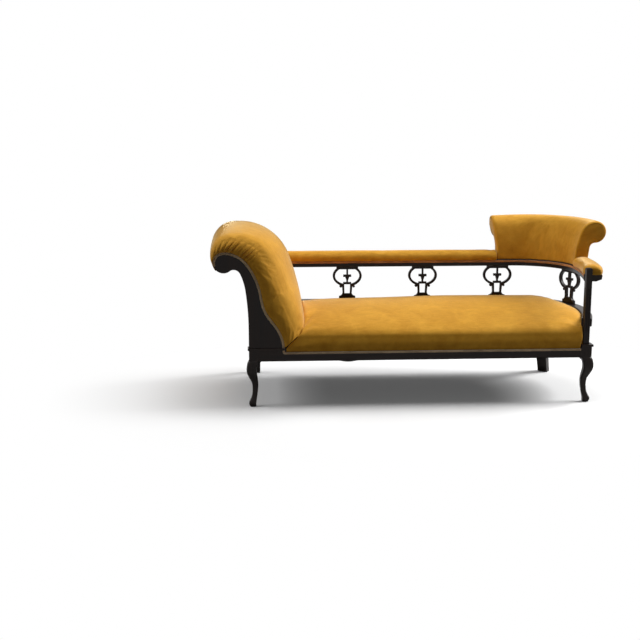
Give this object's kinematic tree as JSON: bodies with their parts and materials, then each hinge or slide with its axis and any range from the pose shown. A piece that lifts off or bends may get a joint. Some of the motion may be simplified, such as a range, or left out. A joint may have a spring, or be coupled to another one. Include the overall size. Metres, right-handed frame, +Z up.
{
  "type": "chaise longue",
  "caption": "Upholstered chaise longue with a scrolled end, a low openwork back of pierced splats and a rounded end with a rolled crest, on cabriole legs.",
  "frame": {"origin": "on the floor, under the middle of the bounding box", "axes": "+X along the seat towards the rounded end, +Y from the front to the back, +Z up"},
  "size_m": [1.796, 0.7, 0.769],
  "materials": {
    "mahogany": "dark polished",
    "beech": "bare",
    "velvet": "cut pile",
    "gimp": "woven braid",
    "stuffing": "fibre and hair",
    "webbing": "woven jute",
    "hessian": "coarse weave",
    "bottom_cloth": "plain weave",
    "steel": "plain"
  },
  "bodies": {
    "root": {"front_left_leg": "mahogany", "front_right_leg": "mahogany", "rear_left_leg": "mahogany", "rear_right_leg": "mahogany", "front_seat_rail": "mahogany", "knee_ears": "mahogany", "lower_back_rail": "mahogany", "lower_end_rail": "mahogany", "top_back_rail": "mahogany", "arm_rail": "mahogany", "back_splat_1": "mahogany", "back_splat_2": "mahogany", "back_splat_3": "mahogany", "back_splat_4": "mahogany", "arm_post": "mahogany", "scroll_end_front_facing": "mahogany", "scroll_end_rear_facing": "mahogany", "scroll_base_bead": "mahogany", "back_seat_rail": "mahogany", "left_end_seat_rail": "mahogany", "right_end_seat_rail": "mahogany", "seat_cross_rails": "beech", "corner_blocks": "beech", "scroll_end_head_rail": "beech", "scroll_end_middle_rail": "beech", "scroll_end_tacking_rail": "beech", "crest_left_end_board": "beech", "crest_right_end_board": "beech", "crest_upright_1": "beech", "crest_upright_2": "beech", "crest_top_rail": "beech", "frame_dowels": "beech", "seat_cover": "velvet", "scroll_end_cover": "velvet", "scroll_end_outside_cover": "velvet", "back_rail_cover": "velvet", "arm_cover": "velvet", "crest_cover": "velvet", "crest_end_covers": "velvet", "seat_gimp": "gimp", "scroll_end_gimp": "gimp", "back_rail_gimp": "gimp", "arm_gimp": "gimp", "seat_stuffing": "stuffing", "scroll_end_stuffing": "stuffing", "back_rail_stuffing": "stuffing", "arm_stuffing": "stuffing", "crest_stuffing": "stuffing", "seat_webbing_crosswise": "webbing", "seat_webbing_lengthwise": "webbing", "scroll_end_webbing": "webbing", "spring_hessian": "hessian", "bottom_cloth": "bottom_cloth", "seat_springs": "steel", "corner_screws": "steel"}
  },
  "joints": []
}
